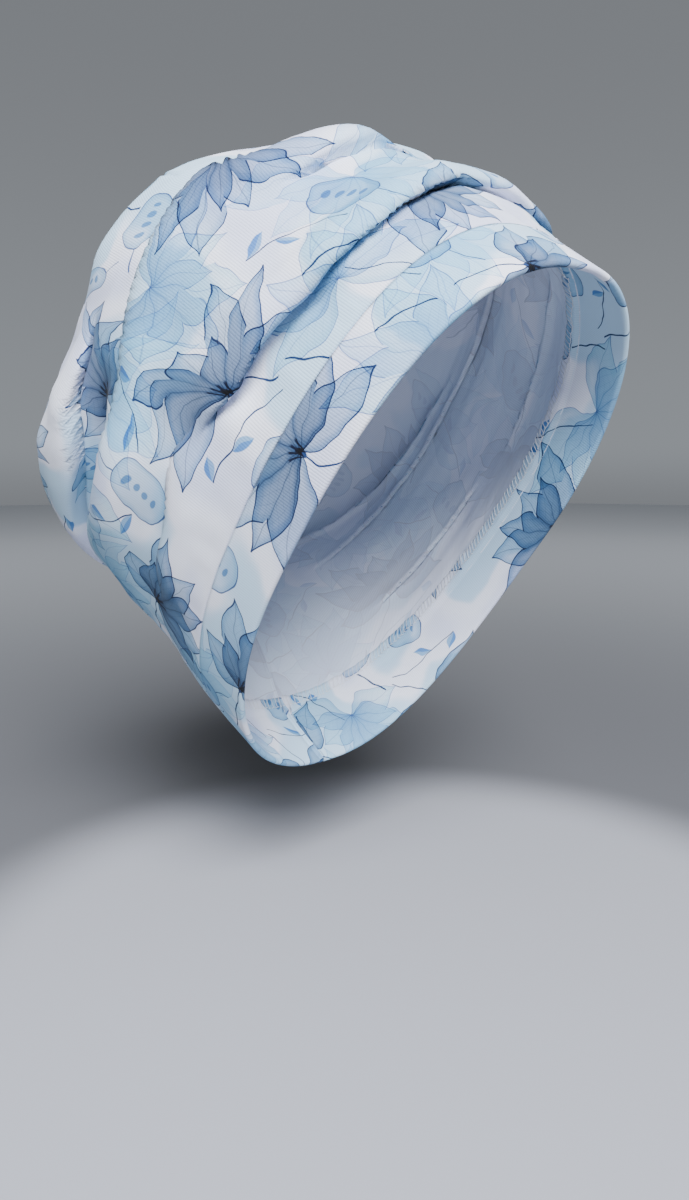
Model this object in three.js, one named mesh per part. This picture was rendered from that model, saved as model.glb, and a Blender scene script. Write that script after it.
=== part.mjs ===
// Soft slouch cap for covering the head, in the form that it takes when it is worn.
// Millimetres, +Z up. The wearer faces -Y and has the right ear on -X. The origin is
// the middle of the opening that the head goes into.
//
// Every place on the cap has two coordinates: turn, the angle round the head from the
// forehead (0) over the right ear (90) to the nape (180), and rise, the share of the
// way from the opening's edge (0) to the middle of the crown (1).

import * as THREE from 'three';

const CROWN_WALL = 1.4; // one loose layer of cotton jersey
const BAND_WALL = 2.6; // the same jersey, folded double and turned in
const BAND_TOP = 0.112; // rise of the seam between headband and crown, about 27 mm up
const SEAM_GAP = 0.4; // along the cloth, left open between the two pieces
const EDGE_STEPS = 4; // facets round the headband's folded edge
const BAND_ROWS = 4;
const CROWN_ROWS = 43;
const STATIONS = 48; // round the head
const PROBE = { turn: 1, rise: 0.004 }; // steps used to find which way the cloth faces

// The cap as a stack of rounded, tilted sections, from the opening's edge to the middle
// of the crown. y, z and lean place a section's centre, tilt lowers its nape side, and
// square is the exponent of its superellipse. brow and nape lift its front and back
// ends out of the section's plane.
const SECTION_COLUMNS = [
  'rise', 'lean', 'y', 'z', 'tilt', 'halfWidth', 'halfLength', 'square', 'brow', 'nape',
];
const SECTIONS = table(SECTION_COLUMNS, [
  [0.00, 2, 2, -2.5, 51.0, 71.5, 125, 2.3, 9.5, -12.5],
  [0.12, -3, 19.5, 11.5, 50.5, 76.5, 124, 2.25, 13.5, -4],
  [0.28, -4, 39.5, 34.5, 50.5, 89.5, 119, 2.15, 3.5, 1],
  [0.46, -6, 69.5, 56.5, 50.0, 93.5, 115.5, 2.3, 2.5, 0],
  [0.64, -6, 89.5, 71, 48.5, 95.5, 109.5, 2.5, 4, 0],
  [0.82, -9, 111.5, 90, 46.5, 84, 87.5, 2.6, 2.5, 0],
  [1.00, -8, 122, 117, 45.0, 0, 0, 2.2, 0, 0],
]);

// Folds in the loose crown. Each one follows a course of turns and rises, and raises (+)
// or sinks (-) the cloth by height, fading over reach to either side.
const FOLD_COLUMNS = ['name', 'course', 'height', 'reach'];
const FOLDS = table(FOLD_COLUMNS, [
  ['side pleat', [[26, 0.250], [50, 0.242], [82, 0.222]], -4.5, 5],
  ['side pleat lip', [[24, 0.285], [50, 0.280], [84, 0.262]], 4.0, 8],
  ['front tuck', [[-38, 0.285], [-10, 0.315], [5, 0.318], [24, 0.270], [38, 0.240]], -3.0, 5],
  ['front roll', [[-40, 0.325], [-10, 0.350], [5, 0.355], [24, 0.310], [40, 0.280]], 4.0, 7],
  ['crown roll', [[4, 0.430], [26, 0.490], [42, 0.575], [60, 0.515], [82, 0.440]], -4.0, 6],
  ['back crease', [[66, 0.475], [91, 0.392], [110, 0.392], [136, 0.500], [152, 0.560]], -5.0, 5.5],
  ['back crease lip', [[68, 0.430], [91, 0.350], [110, 0.352], [134, 0.455], [150, 0.515]], 5.0, 7],
  ['back recess', [[80, 0.515], [126, 0.522], [172, 0.530]], -6.0, 9],
  ['outer crease', [[76, 0.655], [101, 0.590], [122, 0.580], [164, 0.615]], -5.5, 5.5],
  ['outer lobe', [[84, 0.665], [140, 0.685], [196, 0.700]], 12.5, 14],
  ['top corner', [[28, 0.790], [50, 0.765], [78, 0.730]], 3.5, 12],
  ['top dip', [[14, 0.610], [38, 0.620], [62, 0.660]], -2.0, 13],
  ['nape crease', [[76, 0.262], [98, 0.222], [118, 0.222]], -4.0, 6],
  ['nape lobe', [[80, 0.350], [116, 0.348], [152, 0.345]], 5.0, 14],
  ['left pleat', [[-86, 0.260], [-62, 0.285], [-36, 0.290]], -5.0, 6],
  ['left pleat lip', [[-90, 0.305], [-62, 0.325], [-32, 0.330]], 4.0, 8],
  ['left valley', [[-150, 0.450], [-100, 0.500], [-60, 0.510], [-12, 0.470]], -5.0, 7],
  ['left outer crease', [[-164, 0.610], [-120, 0.570], [-80, 0.580]], -5.5, 6],
  ['left outer lobe', [[-176, 0.680], [-130, 0.670], [-84, 0.660]], 6.0, 12],
  ['left nape crease', [[-140, 0.245], [-117, 0.270], [-94, 0.300]], -4.0, 6],
  ['left nape lobe', [[-156, 0.365], [-120, 0.375], [-84, 0.385]], 4.0, 16],
]);
const FADE_SHARE = 0.25; // of a fold's course, over which it fades in and out
const RISE_LENGTH = 255; // of cloth from the opening's edge to the crown's middle

// Gives each value in a table's rows its column's name.
function table(columns, rows) {
  return rows.map((row) => Object.fromEntries(columns.map((column, index) => [column, row[index]])));
}

// One smooth curve through each column of SECTIONS. The two half sizes are followed as
// squares, so that the crown closes round and not to a point.
const COLUMNS = {
  lean: (row) => row.lean,
  y: (row) => row.y,
  z: (row) => row.z,
  tilt: (row) => THREE.MathUtils.degToRad(row.tilt),
  widthSquared: (row) => row.halfWidth ** 2,
  lengthSquared: (row) => row.halfLength ** 2,
  square: (row) => row.square,
  brow: (row) => row.brow,
  nape: (row) => row.nape,
};
const sectionCurve = new THREE.CubicInterpolant(
  SECTIONS.map((row) => row.rise),
  SECTIONS.flatMap((row) => Object.values(COLUMNS).map((column) => column(row))),
  Object.keys(COLUMNS).length,
);

function sectionAt(rise) {
  const values = sectionCurve.evaluate(rise);
  return Object.fromEntries(Object.keys(COLUMNS).map((name, index) => [name, values[index]]));
}

// A point of the smooth cap, before it is folded.
function smoothPoint(turn, rise) {
  const section = sectionAt(rise);
  const angle = THREE.MathUtils.degToRad(turn);
  const [front, side] = [Math.cos(angle), Math.sin(angle)];
  const { square } = section;
  const spread = (Math.abs(front) ** square + Math.abs(side) ** square) ** (1 / square);
  const back = -front / spread;
  const across = -Math.sqrt(Math.max(section.widthSquared, 0)) * side / spread;
  const along = Math.sqrt(Math.max(section.lengthSquared, 0)) * back;
  const lift = back < 0 ? section.brow * back ** 2 : section.nape * back ** 2;
  return new THREE.Vector3(
    section.lean + across,
    section.y + along * Math.cos(section.tilt) + lift * Math.sin(section.tilt),
    section.z - along * Math.sin(section.tilt) + lift * Math.cos(section.tilt),
  );
}

// The directions in which a surface rises and faces out at one place.
function directions(surface, turn, rise) {
  const low = Math.max(rise - PROBE.rise, 0);
  const high = Math.min(rise + PROBE.rise, 1 - PROBE.rise);
  const up = surface(turn, high).sub(surface(turn, low)).normalize();
  const middle = (low + high) / 2;
  const round = surface(turn + PROBE.turn, middle).sub(surface(turn - PROBE.turn, middle)).normalize();
  return { up, out: new THREE.Vector3().crossVectors(up, round).normalize() };
}

// One smooth curve of rise over turn along each fold's course.
const COURSES = FOLDS.map(({ course, ...fold }) => {
  const turns = course.map(([turn]) => turn);
  const curve = new THREE.CubicInterpolant(turns, course.map(([, rise]) => rise), 1);
  return { ...fold, from: turns[0], to: turns[turns.length - 1], riseAt: (turn) => curve.evaluate(turn)[0] };
});

// How far all the folds together move the cloth outwards at one place.
function foldHeight(turn, rise) {
  return COURSES.reduce((sum, fold) => {
    const middle = (fold.from + fold.to) / 2;
    const near = THREE.MathUtils.euclideanModulo(turn - middle + 180, 360) - 180 + middle;
    if (near <= fold.from || near >= fold.to) return sum;
    const share = (near - fold.from) / (fold.to - fold.from);
    const fade = THREE.MathUtils.smoothstep(Math.min(share, 1 - share), 0, FADE_SHARE);
    const beside = (rise - fold.riseAt(near)) * RISE_LENGTH;
    return sum + fold.height * fade / Math.cosh(beside / fold.reach);
  }, 0);
}

// A point of the cap's outer face, folds included.
function foldedPoint(turn, rise) {
  const height = foldHeight(turn, rise);
  const { out } = directions(smoothPoint, turn, rise);
  return smoothPoint(turn, rise).addScaledVector(out, height);
}

// A point of a wall: depth under the outer face, and beyond its lower edge.
function wallPoint(turn, rise, depth, beyond = 0) {
  const { up, out } = directions(foldedPoint, turn, rise);
  return foldedPoint(turn, rise).addScaledVector(out, -depth).addScaledVector(up, -beyond);
}

// A closed ring of points round the head.
function ring(rise, depth, beyond) {
  const turns = Array.from({ length: STATIONS }, (_, index) => index * 360 / STATIONS);
  return turns.map((turn) => wallPoint(turn, rise, depth, beyond));
}

// Joins rings into a skin, each to the next. Poles close the first and last ring where
// they are given. Without poles the last ring is joined to the first.
function skin(rings, poles = []) {
  const points = [...rings.flat(), ...poles];
  const faces = [];
  const bands = poles.length ? rings.length - 1 : rings.length;
  for (let band = 0; band < bands; band += 1) {
    const here = band * STATIONS;
    const next = ((band + 1) % rings.length) * STATIONS;
    for (let station = 0; station < STATIONS; station += 1) {
      const beside = (station + 1) % STATIONS;
      faces.push(here + station, next + station, next + beside);
      faces.push(here + station, next + beside, here + beside);
    }
  }
  if (poles.length) {
    const first = rings.length * STATIONS;
    const last = (rings.length - 1) * STATIONS;
    for (let station = 0; station < STATIONS; station += 1) {
      const beside = (station + 1) % STATIONS;
      faces.push(first, station, beside);
      faces.push(last + station, first + 1, last + beside);
    }
  }
  const geometry = new THREE.BufferGeometry().setFromPoints(points);
  geometry.setIndex(faces);
  geometry.computeVertexNormals();
  return geometry;
}

// The strip that grips the head: folded over at the opening's edge, so that its outer
// and inner faces are one piece of cloth, and cut level where it meets the crown.
function headbandGeometry() {
  const rows = Array.from({ length: BAND_ROWS + 1 }, (_, row) => BAND_TOP * row / BAND_ROWS);
  const inner = rows.map((rise) => ring(rise, BAND_WALL)).reverse();
  const edge = Array.from({ length: EDGE_STEPS - 1 }, (_, step) => {
    const angle = Math.PI * (step + 1) / EDGE_STEPS;
    return ring(0, BAND_WALL / 2 * (1 + Math.cos(angle)), BAND_WALL / 2 * Math.sin(angle));
  });
  const outer = rows.map((rise) => ring(rise, 0));
  return skin([...inner, ...edge, ...outer]);
}

// The loose bag of the crown, open at the headband and closed in the middle.
function crownGeometry() {
  const seam = BAND_TOP + SEAM_GAP / RISE_LENGTH;
  const rises = Array.from({ length: CROWN_ROWS }, (_, row) => seam + (1 - seam) * row / CROWN_ROWS);
  const inner = rises.map((rise) => ring(rise, CROWN_WALL)).reverse();
  const outer = rises.map((rise) => ring(rise, 0));
  const { tilt } = sectionAt(1);
  const axis = new THREE.Vector3(0, Math.sin(tilt), Math.cos(tilt));
  const top = smoothPoint(0, 1);
  return skin([...inner, ...outer], [top.clone().addScaledVector(axis, -CROWN_WALL), top]);
}

function jersey(color) {
  return new THREE.MeshStandardMaterial({ color, roughness: 0.92, metalness: 0 });
}

function piece(name, geometry, material) {
  const mesh = new THREE.Mesh(geometry, material);
  mesh.name = name;
  return mesh;
}

const cap = new THREE.Group();
cap.add(piece('headband', headbandGeometry(), jersey(0xe4ecf6)));
cap.add(piece('crown', crownGeometry(), jersey(0xe9edf7)));

export default cap;
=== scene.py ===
"""A soft slouch cap of printed cotton jersey, in the form that it takes on the head that wears it."""
import math

import bpy
import numpy as np
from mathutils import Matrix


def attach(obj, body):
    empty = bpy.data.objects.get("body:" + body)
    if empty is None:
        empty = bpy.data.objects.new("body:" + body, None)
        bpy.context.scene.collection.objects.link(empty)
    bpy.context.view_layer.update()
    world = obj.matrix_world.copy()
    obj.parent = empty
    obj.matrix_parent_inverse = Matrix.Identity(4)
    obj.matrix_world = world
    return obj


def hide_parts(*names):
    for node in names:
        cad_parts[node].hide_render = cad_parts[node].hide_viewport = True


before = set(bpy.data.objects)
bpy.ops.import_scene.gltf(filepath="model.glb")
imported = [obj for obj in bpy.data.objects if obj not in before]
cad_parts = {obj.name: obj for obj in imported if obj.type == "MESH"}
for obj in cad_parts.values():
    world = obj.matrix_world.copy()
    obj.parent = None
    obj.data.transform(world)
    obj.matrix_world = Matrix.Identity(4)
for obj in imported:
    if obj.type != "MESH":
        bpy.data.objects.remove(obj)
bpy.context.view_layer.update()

# ------------------------------------------------------------------ the studio
# The camera stands before the wearer's right cheek and looks slightly down. The cap
# hangs at head height over a pale floor, where the head that wears it would hold it.

camera = bpy.data.objects.new("camera", bpy.data.cameras.new("camera"))
bpy.context.scene.collection.objects.link(camera)
bpy.context.scene.camera = camera
camera.data.lens = 25.4
camera.location = (-0.2367, -0.2447, 0.0383)
camera.rotation_euler = (math.radians(80.5), 0, math.radians(-38.8))


class Mark:
    """A value that changes over a surface. Arithmetic on it adds nodes to its finish."""

    def __init__(self, finish, socket):
        self.finish, self.socket = finish, socket

    def __add__(self, other):
        return self.finish.maths("ADD", self, other)

    def __sub__(self, other):
        return self.finish.maths("SUBTRACT", self, other)

    def __rsub__(self, other):
        return self.finish.maths("SUBTRACT", other, self)

    def __mul__(self, other):
        return self.finish.maths("MULTIPLY", self, other)

    def __truediv__(self, other):
        return self.finish.maths("DIVIDE", self, other)

    def __abs__(self):
        return self.finish.maths("ABSOLUTE", self)

    __radd__, __rmul__ = __add__, __mul__


class Finish:
    """The nodes of one material, of the air round the cap, or of a row of stitches,
    built up one by one."""

    def __init__(self, holder):
        self.holder = holder
        self.tree = holder
        if not isinstance(holder, bpy.types.NodeTree):
            holder.use_nodes = True
            self.tree = holder.node_tree
        self.tree.nodes.clear()

    def node(self, kind, settings, inputs, output=0):
        node = self.tree.nodes.new(kind)
        for name, value in settings.items():
            setattr(node, name, value)
        for name, value in inputs.items():
            if isinstance(value, (Mark, list)):
                for mark in value if isinstance(value, list) else [value]:
                    self.tree.links.new(mark.socket, node.inputs[name])
            else:
                node.inputs[name].default_value = value
        return Mark(self, node.outputs[output]) if node.outputs else None

    def maths(self, operation, *terms):
        return self.node("ShaderNodeMath", {"operation": operation}, dict(enumerate(terms)))

    def vector(self, operation, *terms, output=0):
        settings = {"operation": operation}
        return self.node("ShaderNodeVectorMath", settings, dict(enumerate(terms)), output)

    def grow(self, value, start, stop, low=0.0, high=1.0):
        """low where value is at start, high where it is at stop, and smooth between."""
        span = {"Value": value, "From Min": start, "From Max": stop, "To Min": low, "To Max": high}
        return self.node("ShaderNodeMapRange", {"interpolation_type": "SMOOTHSTEP"}, span)

    def mix(self, share, first, second, blend="MIX"):
        """Two colours mixed, from first where share is 0 to second where it is 1."""
        settings = {"data_type": "RGBA", "blend_type": blend}
        return self.node("ShaderNodeMix", settings, {0: share, 6: first, 7: second}, 2)

    def surface(self, **sockets):
        named = {name.replace("_", " "): value for name, value in sockets.items()}
        shader = self.node("ShaderNodeBsdfPrincipled", {}, named)
        self.node("ShaderNodeOutputMaterial", {}, {"Surface": shader})
        return self.holder


FLOOR_HEIGHT = -0.180
FLOOR_RADIUS = 4.0
floor_mesh = bpy.data.meshes.new("floor")
corners = [(math.cos(a), math.sin(a)) for a in np.linspace(0, 2 * math.pi, 97)[:-1]]
floor_mesh.from_pydata(
    [(FLOOR_RADIUS * x, FLOOR_RADIUS * y, FLOOR_HEIGHT) for x, y in corners],
    [],
    [range(len(corners))],
)
floor = bpy.data.objects.new("floor", floor_mesh)
bpy.context.scene.collection.objects.link(floor)

# The floor's colour holds painted light and shade: pale under the cap as a painted pool of light,
# mid-grey in a painted darker ring round it, and palest far off.
pale = Finish(bpy.data.materials.new("pale floor"))
from_cap = pale.vector("LENGTH", pale.node("ShaderNodeTexCoord", {}, {}, "Object"), output=1)
tone = pale.mix(pale.grow(from_cap, 0.25, 0.31), (0.40, 0.405, 0.445, 1), (0.135, 0.137, 0.148, 1))
tone = pale.mix(pale.grow(from_cap, 0.30, 2.2), tone, (0.86, 0.885, 0.92, 1))
floor_mesh.materials.append(pale.surface(Base_Color=tone, Roughness=0.8))


def soft_light(name, place, aim, size, watts, colour):
    """A square softbox that stands at place and faces aim."""
    light = bpy.data.objects.new(name, bpy.data.lights.new(name, "AREA"))
    bpy.context.scene.collection.objects.link(light)
    light.data.size = size
    light.data.energy = watts
    light.data.color = colour
    light.location = place
    towards = np.array(aim) - np.array(place)
    across = math.hypot(towards[0], towards[1])
    light.rotation_euler = (
        math.atan2(across, -towards[2]), 0, math.atan2(towards[1], towards[0]) - math.pi / 2,
    )


middle = (0, 0.05, 0.04)
soft_light("key light", (-0.62, -1.0, 1.02), middle, 0.75, 80, (0.92, 0.95, 1.0))
soft_light("top light", (-0.4, 0.5, 1.3), middle, 0.8, 2, (0.95, 0.97, 1.0))

air = Finish(bpy.data.worlds.new("studio air"))
bpy.context.scene.world = air.holder
direction = air.node("ShaderNodeTexCoord", {}, {}, "Generated")
height = air.node("ShaderNodeSeparateXYZ", {}, {0: direction}, "Z")
ahead = air.vector("DOT_PRODUCT", direction, (0.62, 0.78, 0), output=1)
shade = air.mix(air.grow(height, 0.0, 0.45), (0.27, 0.29, 0.315, 1), (0.20, 0.212, 0.23, 1))
shade = air.mix(air.grow(height, -0.06, 0.02), (0.20, 0.212, 0.23, 1), shade)
shade = air.mix(air.grow(ahead, -0.5, 0.75), (0.085, 0.09, 0.097, 1), shade)
backdrop = air.node("ShaderNodeBackground", {}, {"Color": shade})
air.node("ShaderNodeOutputWorld", {}, {"Surface": backdrop})

# ---------------------------------------------------------------- the headband
# A strip of jersey about 62 cm round, folded double along the opening's edge with its
# printed side out on both faces. Its two raw edges are sewn together to the crown.
#
# Every place on the cap has a turn, in degrees round the head from the forehead over
# the right ear (90) to the nape (180), and a rise, from the opening's edge (0) to the
# middle of the crown (1). Lengths are in millimetres until a mesh is made.

METRES = 0.001
CLOTH = 1.0  # thickness of one layer
BAND_WALL = 2.6
BAND_TOP = 0.112
ALLOWANCE = 8.0  # cloth past the seam, inside the cap
TURN_LENGTH = 1.66
RISE_LENGTH = 255
SLACK = 0.35  # height of the small waves in the slack cloth
PUCKER = 0.22  # height of the puckers above the headband

# The seams that run up the cap: one at the back, and the crown's four darts, each with
# the turn that it lies at and the rise that it starts from. The mesh is finer there.
DART_START = 0.70
SEAM_LINES = [(-180, -1), (-135, DART_START), (-45, DART_START), (45, DART_START), (135, DART_START)]
SEAM_DEPTH = 0.7
SEAM_REACH = 0.7
near_seams = [line + aside for line, _ in SEAM_LINES for aside in (-0.9, -0.45, 0.45, 0.9)]
TURNS = np.sort((np.append(np.arange(-180, 180, 1.875), near_seams) + 180) % 360 - 180)
NEXT_TURNS = np.append(TURNS[1:], TURNS[0] + 360)
STATIONS = len(TURNS)

SECTION_COLUMNS = "rise lean y z tilt width_squared length_squared square brow nape".split()
SECTIONS = np.array([
    [0.00, 2, 2, -2.5, 51.0, 71.5**2, 125**2, 2.3, 9.5, -12.5],
    [0.12, -3, 19.5, 11.5, 50.5, 76.5**2, 124**2, 2.25, 13.5, -4],
    [0.28, -4, 39.5, 34.5, 50.5, 89.5**2, 119**2, 2.15, 3.5, 1],
    [0.46, -6, 69.5, 56.5, 50.0, 93.5**2, 115.5**2, 2.3, 2.5, 0],
    [0.64, -6, 89.5, 71, 48.5, 95.5**2, 109.5**2, 2.5, 4, 0],
    [0.82, -9, 111.5, 90, 46.5, 84**2, 87.5**2, 2.6, 2.5, 0],
    [1.00, -8, 122, 117, 45.0, 0, 0, 2.2, 0, 0],
])

# Each fold is a crease that follows a course of turns and rises. The cloth sinks by
# depth along it, over a width of reach, and rolls up by lip on its upper side, or on
# its lower side where tuck is negative. Tuck is how far that roll lies over the crease.
FOLD_FADE = 13  # turns over which a fold comes in at its ends
LIP_PLACE = 1.5  # how far above a crease its lip is highest, over its reach
CREASE_ROUNDING = 0.25  # how round the bottom of a crease is, over its reach
TUCK_POWER = 3  # how narrowly a tuck keeps to its lip
FOLD_COLUMNS = "course depth reach lip tuck".split()
FOLDS = {
    "side pleat": (
        [
            (-36, 0.29), (-10, 0.32), (5, 0.322), (14, 0.302), (24, 0.275), (34, 0.254),
            (42, 0.246), (50, 0.244), (58, 0.248), (68, 0.238), (80, 0.225),
        ],
        5.0, 2.6, 6.0, 8.0,
    ),
    "crown tuck": ([(2, 0.425), (14, 0.43), (24, 0.434), (38, 0.42)], 3.4, 2.0, 4.0, 3.8),
    "long roll": (
        [
            (4, 0.43), (16, 0.46), (26, 0.485), (34, 0.51), (42, 0.57), (50, 0.555), (60, 0.512),
            (70, 0.475), (80, 0.425), (91, 0.39), (100, 0.376), (110, 0.39), (122, 0.44),
            (136, 0.50), (150, 0.56),
        ],
        6.2, 2.8, 6.2, -8.0,
    ),
    "outer crease": (
        [
            (76, 0.66), (92, 0.64), (101, 0.595), (110, 0.575), (122, 0.585), (140, 0.60),
            (164, 0.62),
        ],
        6.0, 2.8, 6.0, 8.0,
    ),
    "nape crease": (
        [
            (76, 0.262), (88, 0.246), (98, 0.22), (108, 0.215), (118, 0.22),
        ],
        3.5, 2.6, 3.5, -5.5,
    ),
    "left pleat": ([(-86, 0.26), (-62, 0.285), (-36, 0.29)], 3.0, 2.4, 3.5, 5.0),
    "left valley": ([(-150, 0.45), (-100, 0.50), (-60, 0.51), (-12, 0.47)], 3.0, 3.0, 3.0, -5.0),
    "left outer crease": ([(-164, 0.61), (-120, 0.57), (-80, 0.58)], 4.0, 2.6, 4.0, 6.0),
    "left nape crease": ([(-140, 0.245), (-117, 0.27), (-94, 0.30)], 2.0, 2.5, 2.5, -4.0),
}

# Broad swellings of the loose cloth, laid out as the folds are.
SWELL_FADE = 28
SWELL_COLUMNS = "course height reach".split()
SWELLS = {
    "outer lobe": ([(84, 0.665), (140, 0.685), (196, 0.700)], 11.5, 14),
    "back recess": ([(80, 0.515), (126, 0.522), (172, 0.530)], -10.0, 8),
    "nape lobe": ([(80, 0.350), (116, 0.348), (152, 0.345)], 5.0, 14),
    "top corner": ([(28, 0.79), (50, 0.765), (78, 0.73)], 3.5, 12),
    "top dip": ([(14, 0.61), (38, 0.62), (62, 0.66)], -2.0, 13),
    "top end": ([(-14, 0.56), (12, 0.55), (28, 0.56)], 2.0, 10),
    "pleat hollow": ([(42, 0.205), (56, 0.210), (74, 0.200)], -5.0, 8),
    "left outer lobe": ([(-176, 0.680), (-130, 0.670), (-84, 0.660)], 4.0, 12),
    "left nape lobe": ([(-156, 0.365), (-120, 0.375), (-84, 0.385)], 4.0, 16),
}


def smooth_curve(at, values, place):
    """Values at each place on a smooth curve through its known ones."""
    slopes = np.diff(values, axis=0) / np.diff(at)[:, None]
    tangents = np.vstack([slopes[:1], (slopes[:-1] + slopes[1:]) / 2, slopes[-1:]])
    row = np.clip(np.searchsorted(at, place, side="right") - 1, 0, len(at) - 2)
    width = (at[row + 1] - at[row])[..., None]
    share = (place[..., None] - at[row][..., None]) / width
    return (
        values[row] * (1 + 2 * share) * (1 - share) ** 2
        + values[row + 1] * share**2 * (3 - 2 * share)
        + tangents[row] * width * share * (1 - share) ** 2
        - tangents[row + 1] * width * share**2 * (1 - share)
    )


def section_at(rise):
    """The cap's section at each rise."""
    curve = smooth_curve(SECTIONS[:, 0], SECTIONS[:, 1:], np.asarray(rise, float))
    return dict(zip(SECTION_COLUMNS[1:], np.moveaxis(curve, -1, 0)))


def smooth_point(turn, rise):
    """A point of the cap's outer face before it is folded."""
    section = section_at(rise)
    angle = np.radians(turn)
    front, side, square = np.cos(angle), np.sin(angle), section["square"]
    spread = (np.abs(front) ** square + np.abs(side) ** square) ** (1 / square)
    back = -front / spread
    across = -np.sqrt(np.maximum(section["width_squared"], 0)) * side / spread
    along = np.sqrt(np.maximum(section["length_squared"], 0)) * back
    lift = np.where(back < 0, section["brow"], section["nape"]) * back**2
    tilt = np.radians(section["tilt"])
    return np.stack(
        np.broadcast_arrays(
            section["lean"] + across,
            section["y"] + along * np.cos(tilt) + lift * np.sin(tilt),
            section["z"] - along * np.sin(tilt) + lift * np.cos(tilt),
        ),
        axis=-1,
    )


def unit(vectors):
    return vectors / np.maximum(np.linalg.norm(vectors, axis=-1, keepdims=True), 1e-9)


def directions(surface, turn, rise, probe_turn=0.6, probe_rise=0.003):
    """The ways in which a surface rises and faces out."""
    low = np.maximum(rise - probe_rise, 0)
    high = np.minimum(rise + probe_rise, 1 - probe_rise)
    up = unit(surface(turn, high) - surface(turn, low))
    level = (low + high) / 2
    around = surface(turn + probe_turn, level) - surface(turn - probe_turn, level)
    return up, unit(np.cross(up, around))


def beside_course(course, turn, rise, fade_turns):
    """How far each place lies above a course, and a fade that is 1 along it and goes
    smoothly to 0 at its ends."""
    turns, rises = np.array(course, float).T
    middle = (turns[0] + turns[-1]) / 2
    near = (turn - middle + 180) % 360 - 180 + middle
    inside = np.clip(near, turns[0] + 1, turns[-1] - 1)
    ahead, level, behind = (
        smooth_curve(turns, rises[:, None], inside + step)[..., 0] for step in (1, 0, -1)
    )
    climb = (ahead - behind) / 2 * RISE_LENGTH / TURN_LENGTH
    above = (rise - level) * RISE_LENGTH / np.hypot(1, climb)
    from_end = np.minimum(near - turns[0], turns[-1] - near)
    fade = np.clip(from_end / min(fade_turns, (turns[-1] - turns[0]) / 4), 0, 1)
    return above, fade**2 * (3 - 2 * fade)


def fold_moves(turn, rise):
    """How far all the folds together move the cloth outwards and down."""
    outwards = down = np.zeros(np.broadcast(turn, rise).shape)
    for row in FOLDS.values():
        fold = dict(zip(FOLD_COLUMNS, row))
        above, fade = beside_course(fold["course"], turn, rise, FOLD_FADE)
        sharpness = CREASE_ROUNDING * fold["reach"]
        bend = (np.hypot(above, sharpness) - sharpness) / fold["reach"]
        over = np.maximum(above * np.sign(fold["tuck"]) / fold["reach"], 0)
        crest = over / LIP_PLACE
        rolled = fold["lip"] * crest * np.exp(1 - crest)
        outwards = outwards + fade * (rolled - fold["depth"] * np.exp(-bend))
        down = down + fade * fold["tuck"] * (over * np.exp(1 - over)) ** TUCK_POWER
    for row in SWELLS.values():
        swell = dict(zip(SWELL_COLUMNS, row))
        above, fade = beside_course(swell["course"], turn, rise, SWELL_FADE)
        outwards = outwards + fade * swell["height"] / np.cosh(above / swell["reach"])
    return outwards, down


def sewn_and_slack(turn, rise):
    """How far the cloth stands out where it is slack between the folds, puckers above
    the headband and dips along its seams."""
    x, y = turn * TURN_LENGTH, rise * RISE_LENGTH
    above_band = np.maximum(y - BAND_TOP * RISE_LENGTH, 0)
    slack = np.sin((x + 0.7 * y) / 6.1) * np.sin((0.5 * x - y) / 7.7 + 1)
    slack = slack + 0.6 * np.sin((x - 1.3 * y) / 3.7 + 2) * np.sin((x + 2 * y) / 9.3)
    moves = SLACK * slack * np.clip(above_band / 20, 0, 1)
    ripples = np.sin(turn * 0.85) + 0.7 * np.sin(turn * 1.35 + 1) + 0.5 * np.sin(turn * 2.1 + 3)
    near_band = above_band / 5 * np.exp(1 - above_band / 5)
    moves = moves + PUCKER * ripples * near_band
    section = section_at(np.minimum(rise, 0.97))
    radius = (section["width_squared"] * section["length_squared"]) ** 0.25
    for line, start in SEAM_LINES:
        aside = ((turn - line + 180) % 360 - 180) * np.radians(1) * radius / SEAM_REACH
        sewn = np.clip((rise - start) / 0.04, 0, 1)
        dip = np.exp(-aside**2) - 0.35 * np.exp(-(np.abs(aside) - 2.2) ** 2)
        moves = moves - SEAM_DEPTH * sewn * dip
    return moves


def cloth_point(turn, rise):
    """A point of the cap's outer face, folds included."""
    outwards, down = fold_moves(turn, rise)
    outwards = outwards + sewn_and_slack(turn, rise)
    up, out = directions(smooth_point, turn, rise)
    return smooth_point(turn, rise) + out * outwards[..., None] - up * down[..., None]


def strip_points(path):
    """The rings of a strip of cloth, from rows of rise, depth under the outer face and
    distance below that rise."""
    rise, depth, below = (np.array(column)[:, None] for column in zip(*path))
    up, out = directions(cloth_point, TURNS[None], rise)
    return cloth_point(TURNS[None], rise) - out * depth[..., None] - up * below[..., None]


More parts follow.
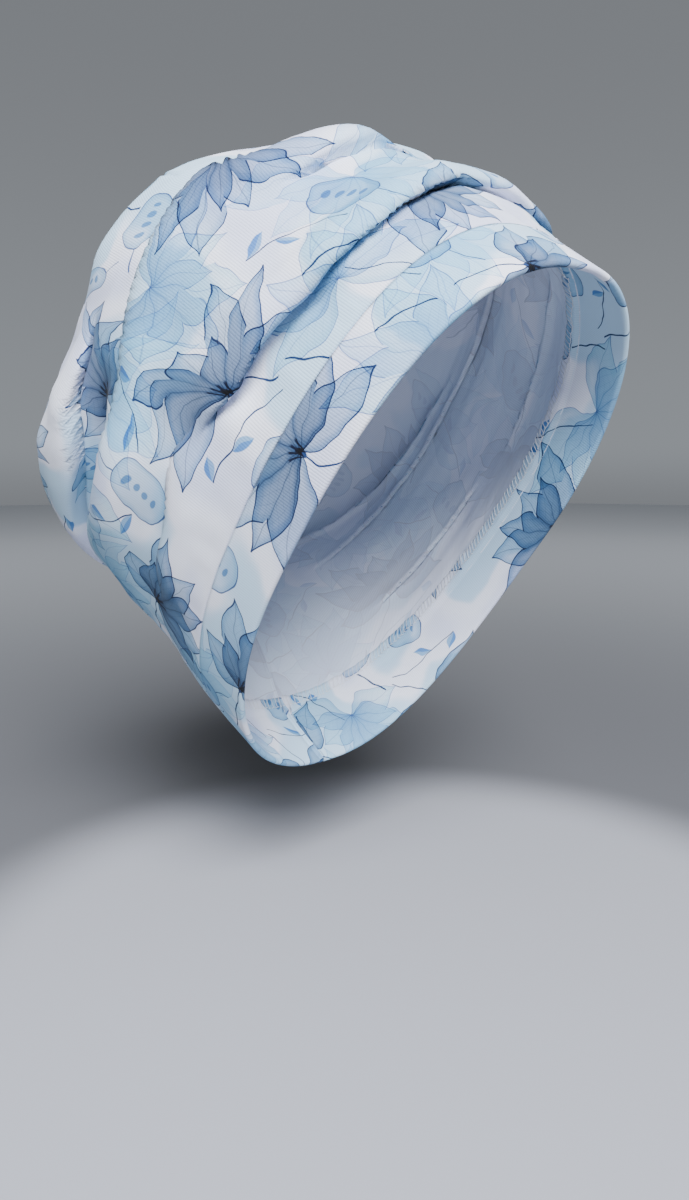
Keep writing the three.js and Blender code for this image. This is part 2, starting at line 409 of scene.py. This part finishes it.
def cloth_object(name, face, flat_width, finishes, top=None):
    """A closed shell of cloth, from the rings of points of its printed face. flat_width
    gives the width that each ring takes in the flat cut, as a share of the widest, and
    top closes the last ring. The back of the cloth takes the second finish."""
    rings = len(face)
    along = np.gradient(face, axis=0)
    around = np.roll(face, -1, axis=1) - np.roll(face, 1, axis=1)
    back = face - CLOTH * unit(np.cross(along, around))
    points = [face.reshape(-1, 3), back.reshape(-1, 3)]
    ring, station = np.meshgrid(np.arange(rings - 1), np.arange(STATIONS), indexing="ij")
    here, beside = ring * STATIONS + station, ring * STATIONS + (station + 1) % STATIONS
    quads = np.stack([here, here + STATIONS, beside + STATIONS, beside], -1).reshape(-1, 4)
    shell = len(face) * STATIONS
    faces = [*quads.tolist(), *(quads[:, ::-1] + shell).tolist()]

    # The flat cut's coordinates of each face's corners, in metres of cloth.
    length = np.concatenate([
        np.zeros((1, STATIONS)), np.cumsum(np.linalg.norm(np.diff(face, axis=0), axis=-1), axis=0),
    ])
    left, right = TURNS[station], NEXT_TURNS[station]
    gore = np.round((left + right) / 180) * 90
    gore_middle = np.searchsorted(TURNS, (gore + 180) % 360 - 180)
    width = np.asarray(flat_width)

    def flat(turn, row, column):
        u = (gore + (turn - gore) * width[row]) * TURN_LENGTH
        v = length[row, column] * width[row] + length[row, gore_middle] * (1 - width[row])
        return np.stack([u, v], -1)

    beside_station = (station + 1) % STATIONS
    quad_flat = np.stack([
        flat(left, ring, station), flat(left, ring + 1, station),
        flat(right, ring + 1, beside_station), flat(right, ring, beside_station),
    ], axis=2).reshape(-1, 4, 2)
    corners = [quad_flat.reshape(-1, 2), quad_flat[:, ::-1].reshape(-1, 2)]
    finish = [0] * len(quads) + [1] * len(quads)

    # The raw edges, from the face to the back.
    first = np.arange(STATIONS)
    after = (first + 1) % STATIONS
    ends = [(0, False)] + ([] if top is not None else [(rings - 1, True)])
    for row, last in ends:
        start = row * STATIONS
        edge = np.stack([start + first, start + after, start + after + shell, start + first + shell], -1)
        faces += (edge[:, ::-1] if last else edge).tolist()
        pick = quad_flat.reshape(rings - 1, STATIONS, 4, 2)[min(row, rings - 2)]
        near, far = (pick[:, 1], pick[:, 2]) if last else (pick[:, 0], pick[:, 3])
        strip = np.stack([near, far, far, near], 1)
        corners.append((strip[:, ::-1] if last else strip).reshape(-1, 2))
        finish += [1] * STATIONS
    if top is not None:
        points.append(np.stack([top, top + CLOTH * unit(back[-1].mean(0) - top)]))
        start, pole = (rings - 1) * STATIONS, 2 * shell
        faces += np.stack([start + first, np.full(STATIONS, pole), start + after], -1).tolist()
        under = [start + shell + after, np.full(STATIONS, pole + 1), start + shell + first]
        faces += np.stack(under, -1).tolist()
        pick = quad_flat.reshape(rings - 1, STATIONS, 4, 2)[-1]
        tip = (pick[:, 1] + pick[:, 2]) / 2
        corners.append(np.stack([pick[:, 1], tip, pick[:, 2]], 1).reshape(-1, 2))
        corners.append(np.stack([pick[:, 2], tip, pick[:, 1]], 1).reshape(-1, 2))
        finish += [0] * STATIONS + [1] * STATIONS

    mesh = bpy.data.meshes.new(name)
    mesh.from_pydata((np.concatenate(points) * METRES).tolist(), [], faces)
    mesh.polygons.foreach_set("use_smooth", [True] * len(faces))
    mesh.polygons.foreach_set("material_index", finish)
    mesh.uv_layers.new(name="flat cut").data.foreach_set(
        "uv", (np.concatenate(corners) * METRES).ravel()
    )
    for material in finishes:
        mesh.materials.append(material)
    piece = bpy.data.objects.new(name, mesh)
    bpy.context.scene.collection.objects.link(piece)
    return piece


# The print: see-through leaf sprays and seed discs in blues on white, with fine dark
# outlines, in a repeat of REPEAT. Each motif has its place in the repeat, the way that it
# points in degrees, and its size.
REPEAT = (168.0, 150.0)
LEAF_SPRAYS = [(30, 34, 215, 36), (116, 46, 80, 38), (66, 112, 330, 34), (148, 122, 130, 36)]
PALE_SPRAYS = [(74, 22, 100, 42), (8, 96, 20, 44), (108, 100, 250, 40)]
GHOST_SPRAYS = [(44, 70, 300, 42), (144, 90, 190, 40)]
SEED_DISCS = [
    (52, 64, 60, 12), (92, 146, 160, 11), (160, 60, 280, 12), (122, 4, 30, 10), (14, 130, 80, 11),
]
SPRIGS = [(2, 62, 50, 44), (86, 74, 200, 34), (34, 142, 20, 44), (134, 82, 300, 34), (140, 22, 170, 34)]
TWIGS = [(62, 42, 20, 17), (20, 108, 290, 15), (98, 22, 240, 18), (152, 92, 40, 16), (84, 122, 100, 14)]

GROUND = (0.83, 0.852, 0.95, 1)
NAVY = (0.015, 0.045, 0.13, 1)
LINE_EDGE = 0.2  # how soft a printed line's edge is
RIB = 0.82  # from one rib of the knit to the next
LOOP = 0.7  # from one row of the knit's loops to the next
HOLLOW_SHADE = 0.62  # how much painted shade darkens the hollows between the ribs
RIB_HEIGHT = 0.00014  # in metres
RIB_RELIEF = 0.4  # share of that height that the light shows
PRINT_DRIFT = 7  # how far the print wanders off its repeat


def seen_from(finish, flat, motifs):
    """A place as seen from the nearest of the motifs: how far along it, how far across
    it, and that motif's size."""
    half = (REPEAT[0] / 2, REPEAT[1] / 2, 0)
    nearest = nearest_gap = None
    for u, v, heading, size in motifs:
        offset = finish.vector("SUBTRACT", flat, (u, v, 0))
        offset = finish.vector("WRAP", offset, half, tuple(-side for side in half))
        gap = finish.vector("LENGTH", offset, output=1)
        turned = {"Vector": offset, "Location": (0, 0, size), "Rotation": (0, 0, -math.radians(heading))}
        place = finish.node("ShaderNodeMapping", {}, turned)
        if nearest is None:
            nearest, nearest_gap = place, gap
        else:
            closer = finish.maths("LESS_THAN", gap, nearest_gap)
            choice = {0: closer, 4: nearest, 5: place}
            nearest = finish.node("ShaderNodeMix", {"data_type": "VECTOR"}, choice, 1)
            nearest_gap = finish.maths("MINIMUM", gap, nearest_gap)
    return [finish.node("ShaderNodeSeparateXYZ", {}, {0: nearest}, axis) for axis in "XYZ"]


def drawn_line(finish, distance, width):
    """1 on a drawn line, where distance is 0."""
    return finish.grow(abs(distance), width / 2, width / 2 + LINE_EDGE, 1.0, 0.0)


def stretch(finish, along, start, stop):
    """1 between start and stop."""
    return finish.grow(along, start, start + 0.4) * finish.grow(along, stop, stop + 0.4, 1.0, 0.0)


def leaf(finish, along, across, length, breadth):
    """How far inside a pointed leaf's outline a place is, and its share of the way to
    the tip. breadth is half the leaf's width over its length."""
    share = finish.maths("MAXIMUM", along / length, 0)
    rounding = finish.maths("POWER", share, 1.3) * (7.1 * breadth)
    taper = finish.maths("POWER", finish.maths("MAXIMUM", 1 - share, 0), 1.5)
    beyond = finish.maths("MAXIMUM", abs(along - length / 2) - length / 2, 0)
    return rounding * taper * length - abs(across) - beyond, share


def draw_spray(finish, cloth, place, rings, outline, width):
    """Fans of see-through leaves on one stalk. Each ring has a number of leaves, the
    angle between them, the breadth and shortest length of a leaf, and the colours of its
    base and its tip."""
    along, across, size = place
    reach = finish.maths("SQRT", along * along + across * across)
    bearing = finish.maths("ARCTAN2", across, along)
    for leaves, step, breadth, shortest, base, tip in rings:
        middle_leaf = (leaves - 1) / 2
        number = finish.maths("ROUND", bearing / step + middle_leaf)
        number = finish.maths("MINIMUM", finish.maths("MAXIMUM", number, 0), leaves - 1)
        swing = bearing - (number - middle_leaf) * step
        variety = finish.maths("SINE", number * 2.4 + size)
        length = size * (variety * ((1 - shortest) / 2) + (1 + shortest) / 2)
        x = reach * finish.maths("COSINE", swing)
        y = reach * finish.maths("SINE", swing) + x * x * variety * 0.005
        inside, share = leaf(finish, x, y, length, breadth)
        filled = finish.grow(inside, 0, LINE_EDGE * 2)
        pooled = filled * finish.grow(inside, 0.2, 3.5, 1.0, 0.72)
        colour = finish.mix(finish.grow(share, 0.1, 0.9), base, tip)
        cloth = finish.mix(pooled, cloth, colour, "MULTIPLY")
        veins = finish.grow(finish.maths("SINE", (x - abs(y) * 1.1) * 1.9), 0.95, 1.0) * 0.2
        ribs = drawn_line(finish, y, 0.12) * 0.55
        inked = finish.maths("MAXIMUM", veins, ribs) * filled
        inked = finish.maths("MAXIMUM", drawn_line(finish, inside, width), inked)
        cloth = finish.mix(inked, cloth, outline, "MULTIPLY")
    return cloth


def print_pattern(finish, flat):
    """The whole print, laid on the ground colour, one kind of motif over another."""
    patches = finish.node("ShaderNodeTexNoise", {}, {"Vector": flat, "Scale": 0.017, "Detail": 1.2})
    wash = finish.grow(patches, 0.485, 0.53)
    cloth = finish.mix(wash, GROUND, (0.58, 0.78, 0.86, 1), "MULTIPLY")
    rim = finish.grow(abs(patches - 0.51), 0.0, 0.02, 0.5, 0.0)
    cloth = finish.mix(rim, cloth, (0.74, 0.85, 0.92, 1), "MULTIPLY")
    blush = finish.grow(patches, 0.46, 0.38)
    cloth = finish.mix(blush, cloth, (0.80, 0.82, 0.92, 1), "MULTIPLY")

    # Pale sprays, as if farther off.
    ghosts = [
        (5, 0.95, 0.25, 0.75, (0.56, 0.77, 0.87, 1), (0.76, 0.91, 0.96, 1)),
        (4, 0.95, 0.22, 0.6, (0.60, 0.81, 0.90, 1), (0.79, 0.94, 0.97, 1)),
    ]
    place = seen_from(finish, flat, GHOST_SPRAYS)
    cloth = draw_spray(finish, cloth, place, ghosts, (0.40, 0.52, 0.70, 1), 0.12)
    pale_leaves = [
        (5, 0.92, 0.25, 0.7, (0.46, 0.65, 0.75, 1), (0.65, 0.85, 0.90, 1)),
        (4, 0.92, 0.22, 0.6, (0.49, 0.63, 0.78, 1), (0.69, 0.84, 0.92, 1)),
    ]
    place = seen_from(finish, flat, PALE_SPRAYS)
    cloth = draw_spray(finish, cloth, place, pale_leaves, (0.24, 0.34, 0.52, 1), 0.18)

    # Seed discs, each on a straight stalk, with a few flat seeds inside.
    along, across, size = seen_from(finish, flat, SEED_DISCS)
    oval = finish.maths("SQRT", along * along + across * across * 1.7)
    inside = (size - oval) * 0.8
    filled = finish.grow(inside, 0, LINE_EDGE * 2)
    pooled = filled * finish.grow(inside, 0.2, 2.5, 1.0, 0.7)
    cloth = finish.mix(pooled, cloth, (0.41, 0.59, 0.72, 1), "MULTIPLY")
    seed_along = finish.maths("PINGPONG", along + 20, 4) - 2
    seed = finish.maths("SQRT", seed_along * seed_along + across * across * 0.45)
    seeds = finish.grow(seed, 1.0, 1.35, 1.0, 0.0) * finish.grow(oval, size * 0.6, size * 0.7, 1.0, 0.0)
    cloth = finish.mix(seeds, cloth, (0.24, 0.41, 0.60, 1), "MULTIPLY")
    stalk = drawn_line(finish, across, 0.28) * stretch(finish, along, size * -1.9, size * -1.0)
    inked = finish.maths("MAXIMUM", drawn_line(finish, inside, 0.22), stalk)
    cloth = finish.mix(inked, cloth, (0.08, 0.14, 0.28, 1), "MULTIPLY")

    # The blue sprays, each with a dark bud where its leaves meet and a bent stalk.
    place = seen_from(finish, flat, LEAF_SPRAYS)
    blues = [
        (5, 0.90, 0.25, 0.72, (0.20, 0.31, 0.43, 1), (0.38, 0.54, 0.68, 1)),
        (4, 0.90, 0.21, 0.62, (0.11, 0.19, 0.30, 1), (0.27, 0.41, 0.57, 1)),
    ]
    cloth = draw_spray(finish, cloth, place, blues, NAVY, 0.34)
    along, across, size = place
    stalk = drawn_line(finish, across - along * along * 0.012, 0.42)
    stalk = stalk * stretch(finish, along, size * -0.72, 0)
    bearing = finish.maths("ARCTAN2", across, along + 2.5)
    reach = finish.maths("SQRT", (along + 2.5) * (along + 2.5) + across * across)
    hairs = finish.grow(finish.maths("SINE", bearing * 16), 0.1, 0.5)
    hairs = hairs * finish.grow(reach, 6.0, 7.5, 1.0, 0.0)
    hairs = hairs * finish.grow(abs(bearing), 0.75, 0.85, 1.0, 0.0)
    bud = finish.maths("SQRT", along * along + across * across * 2.5)
    bud = finish.grow(bud, 1.7, 2.2, 1.0, 0.0)
    inked = finish.maths("MAXIMUM", stalk, finish.maths("MAXIMUM", hairs, bud))
    cloth = finish.mix(inked, cloth, NAVY, "MULTIPLY")

    # Sprigs: a bowed stem with small two-tone leaves to either side by turns.
    along, across, size = seen_from(finish, flat, SPRIGS)
    bowed = across - along * along * 0.009
    stem = drawn_line(finish, bowed, 0.3) * stretch(finish, along, 0, size)
    spacing = 11
    number = finish.maths("FLOOR", along / spacing)
    side = finish.maths("FLOORED_MODULO", number, 2) * 2 - 1
    x, y = along - number * spacing, bowed * side
    ahead, aside = x * 0.80 + y * 0.60, y * 0.80 - x * 0.60
    inside, _ = leaf(finish, ahead, aside, 10.0, 0.20)
    filled = finish.grow(inside, 0, LINE_EDGE * 2)
    filled = filled * finish.grow(number, -0.6, -0.4)
    filled = filled * finish.grow(number - size / spacing, -1.4, -1.2, 1.0, 0.0)
    cloth = finish.mix(filled, cloth, (0.28, 0.49, 0.68, 1), "MULTIPLY")
    lower_half = filled * finish.grow(aside, -0.1, 0.1)
    cloth = finish.mix(lower_half, cloth, (0.40, 0.58, 0.82, 1), "MULTIPLY")
    cloth = finish.mix(stem, cloth, NAVY, "MULTIPLY")

    # Loose twigs.
    along, across, size = seen_from(finish, flat, TWIGS)
    twig = drawn_line(finish, across - finish.maths("SINE", along * 0.12) * 1.2, 0.4)
    return finish.mix(twig * stretch(finish, along, 0, size), cloth, NAVY, "MULTIPLY")


def jersey(name, strength):
    """Printed cotton jersey. strength is how much of the print shows on this side."""
    finish = Finish(bpy.data.materials.new(name))
    cut = finish.node("ShaderNodeUVMap", {"uv_map": "flat cut"}, {})
    plane = finish.node("ShaderNodeVectorMath", {"operation": "SCALE"}, {0: cut, "Scale": 1 / METRES})
    drift = {"Vector": plane, "Scale": 0.07, "Detail": 1.5}
    waver = finish.node("ShaderNodeTexNoise", {}, drift, "Color")
    waver = finish.vector("SUBTRACT", waver, (0.5, 0.5, 0.5))
    waver = finish.vector("MULTIPLY", waver, (PRINT_DRIFT, PRINT_DRIFT, 0))
    pattern = print_pattern(finish, finish.vector("ADD", plane, waver))
    cloth = finish.mix(strength, GROUND, pattern)

    across_ribs = finish.node("ShaderNodeSeparateXYZ", {}, {0: plane}, "X")
    along_ribs = finish.node("ShaderNodeSeparateXYZ", {}, {0: plane}, "Y")
    rib = finish.maths("PINGPONG", across_ribs, RIB / 2) / (RIB / 2)
    loops = finish.maths("PINGPONG", along_ribs + rib * (LOOP / 2), LOOP / 2) / (LOOP / 2)
    # Painted shade: the hollows between the ribs are darkened in the colour, as if in their own shadow.
    # The ribs' relief is the bump below.
    hollow = finish.grow(rib, 0.0, 0.5, HOLLOW_SHADE, 0.0)
    cloth = finish.mix(hollow, cloth, (0.72, 0.74, 0.80, 1), "MULTIPLY")
    raised = finish.grow(rib, 0.0, 0.8) + loops * 0.25
    relief = {"Height": raised, "Distance": RIB_HEIGHT, "Strength": RIB_RELIEF}
    bump = finish.node("ShaderNodeBump", {}, relief)
    return finish.surface(
        Base_Color=cloth, Roughness=0.82, Sheen_Weight=0.06, Sheen_Roughness=0.5,
        Specular_IOR_Level=0.25, Normal=bump,
    )


printed_face = jersey("printed jersey", 1.0)
printed_back = jersey("back of printed jersey", 0.3)

# The crown's folded seam edge is a half circle round this depth, and the headband
# goes under it.
EDGE_RADIUS = 1.0
UNDER_EDGE = EDGE_RADIUS + 0.05
SEAM_CORNER = 0.45
FACE_ROWS = 20


def turns_of(start, stop, steps):
    return np.radians(np.linspace(start, stop, steps))


band_rises = np.linspace(0, BAND_TOP - (UNDER_EDGE + SEAM_CORNER) / RISE_LENGTH, FACE_ROWS)
hidden = np.linspace(0, ALLOWANCE, 6)
inner_layer = 2 * EDGE_RADIUS + 2 * CLOTH + 0.1
fold_radius = BAND_WALL / 2
band_path = (
    [(BAND_TOP + past / RISE_LENGTH, inner_layer, 0) for past in hidden[:0:-1]]
    + [(BAND_TOP, inner_layer - 0.4, 0)]
    + [(rise, BAND_WALL, 0) for rise in band_rises[:0:-1]]
    + [(0, fold_radius * (1 - math.cos(a)), fold_radius * math.sin(a)) for a in turns_of(180, 0, 10)]
    + [(rise, 0, 0) for rise in band_rises[1:]]
    + [
        (BAND_TOP, SEAM_CORNER * (1 - math.cos(a)), UNDER_EDGE + SEAM_CORNER * (1 - math.sin(a)))
        for a in turns_of(30, 90, 3)
    ]
    + [
        (BAND_TOP, EDGE_RADIUS + UNDER_EDGE * math.sin(a), UNDER_EDGE * math.cos(a))
        for a in turns_of(0, 90, 5)
    ]
    + [(BAND_TOP + past / RISE_LENGTH, EDGE_RADIUS + UNDER_EDGE, 0) for past in hidden[1:]]
)
headband = cloth_object("folded_headband", strip_points(band_path), [1] * len(band_path),
                        [printed_face, printed_back])
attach(headband, "root")
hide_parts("headband")

# ------------------------------------------------------------------- the crown
# One loose bag of the same jersey, sewn to the headband and worn slouched, so that it
# lies in folds round the head. Four darts gather it to the middle of the crown.

CROWN_ROWS = 210
crown_rises = np.linspace(BAND_TOP, 1, CROWN_ROWS + 1)[:-1]
crown_path = (
    [(BAND_TOP + past / RISE_LENGTH, 2 * EDGE_RADIUS, 0) for past in hidden[:0:-1]]
    + [
        (BAND_TOP, EDGE_RADIUS * (1 - math.cos(a)), EDGE_RADIUS * math.sin(a))
        for a in turns_of(180, 0, 9)
    ]
    + [(rise, 0, 0) for rise in crown_rises[1:]]
)


def girth(rise):
    """How far it is round the cap at each rise."""
    ring = smooth_point(TURNS[None], np.asarray(rise)[:, None])
    return np.linalg.norm(np.roll(ring, -1, axis=1) - ring, axis=-1).sum(-1)


path_rises = np.array([row[0] for row in crown_path])
gathered = np.minimum(girth(path_rises) / girth([DART_START]), 1)
gathered[path_rises < DART_START] = 1
crown = cloth_object("loose_crown", strip_points(crown_path), gathered,
                     [printed_face, printed_back], top=smooth_point(0.0, 1.0))
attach(crown, "root")
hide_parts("crown")

# ---------------------------------------------------------------- the overlock
# White thread that binds the raw edges of the headband and the crown together inside
# the cap. One needle row holds it, and at every stitch it runs up and over the edges.

STITCH = 2.4  # from one stitch to the next
BITE = 5.0  # from the needle row to the raw edges
THREAD_RADIUS = 0.15
edge_rise = np.full(STATIONS, BAND_TOP + ALLOWANCE / RISE_LENGTH)
edge_up, edge_out = directions(cloth_point, TURNS, edge_rise)
edge_line = (cloth_point(TURNS, edge_rise) - edge_out * inner_layer) * METRES
guide_mesh = bpy.data.meshes.new("overlock_guide")
guide_mesh.from_pydata(edge_line.tolist(), [(i, (i + 1) % STATIONS) for i in range(STATIONS)], [])
for name, ways in (("rising", edge_up), ("inward", -edge_out)):
    guide_mesh.attributes.new(name, "FLOAT_VECTOR", "POINT").data.foreach_set("vector", ways.ravel())
guide = bpy.data.objects.new("overlock_guide", guide_mesh)
bpy.context.scene.collection.objects.link(guide)

stitching = bpy.data.node_groups.new("overlock stitches", "GeometryNodeTree")
STITCH_SIZES = {
    "Spacing": STITCH * METRES,
    "Bite": BITE * METRES,
    "Edges": (inner_layer - EDGE_RADIUS) * METRES,
    "Thread radius": THREAD_RADIUS * METRES,
}
kinds = {"Geometry": "Geometry", **dict.fromkeys(STITCH_SIZES, "Float"), "Finish": "Material"}
sockets = [
    stitching.interface.new_socket(name, in_out="INPUT", socket_type="NodeSocket" + kind)
    for name, kind in kinds.items()
]
stitching.interface.new_socket("Geometry", in_out="OUTPUT", socket_type="NodeSocketGeometry")

sewing = Finish(stitching)
guide_line, spacing, bite, edges, thread_radius, thread_finish = (
    sewing.node("NodeGroupInput", {}, {}, socket.name) for socket in sockets
)


def thread_run(*points):
    """Thread laid in one bend from the first of four points to the last."""
    places = [sewing.node("ShaderNodeCombineXYZ", {}, dict(enumerate(point))) for point in points]
    named = dict(zip(("Start", "Start Handle", "End Handle", "End"), places))
    kind = "GeometryNodeCurvePrimitiveBezierSegment"
    bend = sewing.node(kind, {"mode": "POSITION"}, {"Resolution": 9, **named})
    circle = {"Resolution": 6, "Radius": thread_radius}
    round_thread = sewing.node("GeometryNodeCurvePrimitiveCircle", {}, circle)
    ends = {"Curve": bend, "Profile Curve": round_thread, "Fill Caps": True}
    return sewing.node("GeometryNodeCurveToMesh", {}, ends)


# Along the row, up past the raw edges, and inwards.
over_edges = thread_run(
    (0, bite * -1, thread_radius),
    (spacing * 0.1, 0, thread_radius * 4),
    (spacing * 0.5, thread_radius * 6, thread_radius * 9),
    (spacing * 0.5, thread_radius, edges * -1),
)
needle_row = thread_run(
    (spacing * -0.45, bite * -1, 0),
    (spacing * -0.25, bite * -1, thread_radius * 3),
    (spacing * 0.25, bite * -1, thread_radius * 3),
    (spacing * 0.45, bite * -1, 0),
)
stitch = sewing.node("GeometryNodeJoinGeometry", {}, {"Geometry": [over_edges, needle_row]})
stitch = sewing.node("GeometryNodeSetShadeSmooth", {}, {"Geometry": stitch})
line = sewing.node("GeometryNodeMeshToCurve", {}, {"Mesh": guide_line})
line = sewing.node("GeometryNodeResampleCurve", {"mode": "LENGTH"}, {"Curve": line, "Length": spacing})
inward, rising = (
    sewing.node("GeometryNodeInputNamedAttribute", {"data_type": "FLOAT_VECTOR"}, {"Name": name})
    for name in ("inward", "rising")
)
facing = {"primary_axis": "Z", "secondary_axis": "Y"}
axes = {"Primary Axis": inward, "Secondary Axis": rising}
turned = sewing.node("FunctionNodeAxesToRotation", facing, axes)
row = {"Points": line, "Instance": stitch, "Rotation": turned}
row = sewing.node("GeometryNodeInstanceOnPoints", {}, row)
row = sewing.node("GeometryNodeRealizeInstances", {}, {"Geometry": row})
row = sewing.node("GeometryNodeSetMaterial", {}, {"Geometry": row, "Material": thread_finish})
sewing.node("NodeGroupOutput", {}, {"Geometry": row})

# Two-ply thread, a little rough. Its colour has random tone in the fibres and painted shade in the
# grooves between its plies, so it is lighter on the crowns of its plies.
spun = Finish(bpy.data.materials.new("overlock thread"))
in_thread = spun.node("ShaderNodeTexCoord", {}, {}, "Object")
fibres = spun.node("ShaderNodeTexNoise", {}, {"Vector": in_thread, "Scale": 5200, "Detail": 2.0})
twist = {"Vector": in_thread, "Scale": 900}
plies = spun.node("ShaderNodeTexWave", {"bands_direction": "DIAGONAL"}, twist)
fibre_tone_and_painted_ply_shade = spun.mix(fibres * 0.4 + plies * 0.5, (0.60, 0.61, 0.66, 1), (0.88, 0.89, 0.93, 1))
spun_bump = spun.node("ShaderNodeBump", {}, {"Height": plies, "Distance": 0.00005, "Strength": 0.6})
spun_thread = spun.surface(
    Base_Color=fibre_tone_and_painted_ply_shade, Roughness=0.62, Specular_IOR_Level=0.3, Normal=spun_bump,
)

sewn_row = guide.modifiers.new("overlock", "NODES")
sewn_row.node_group = stitching
for socket, value in zip(sockets[1:], [*STITCH_SIZES.values(), spun_thread]):
    sewn_row[socket.identifier] = value
evaluated = guide.evaluated_get(bpy.context.evaluated_depsgraph_get())
overlock = bpy.data.objects.new("overlock_thread", bpy.data.meshes.new_from_object(evaluated))
bpy.context.scene.collection.objects.link(overlock)
guide.modifiers.clear()
bpy.data.objects.remove(guide)
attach(overlock, "root")
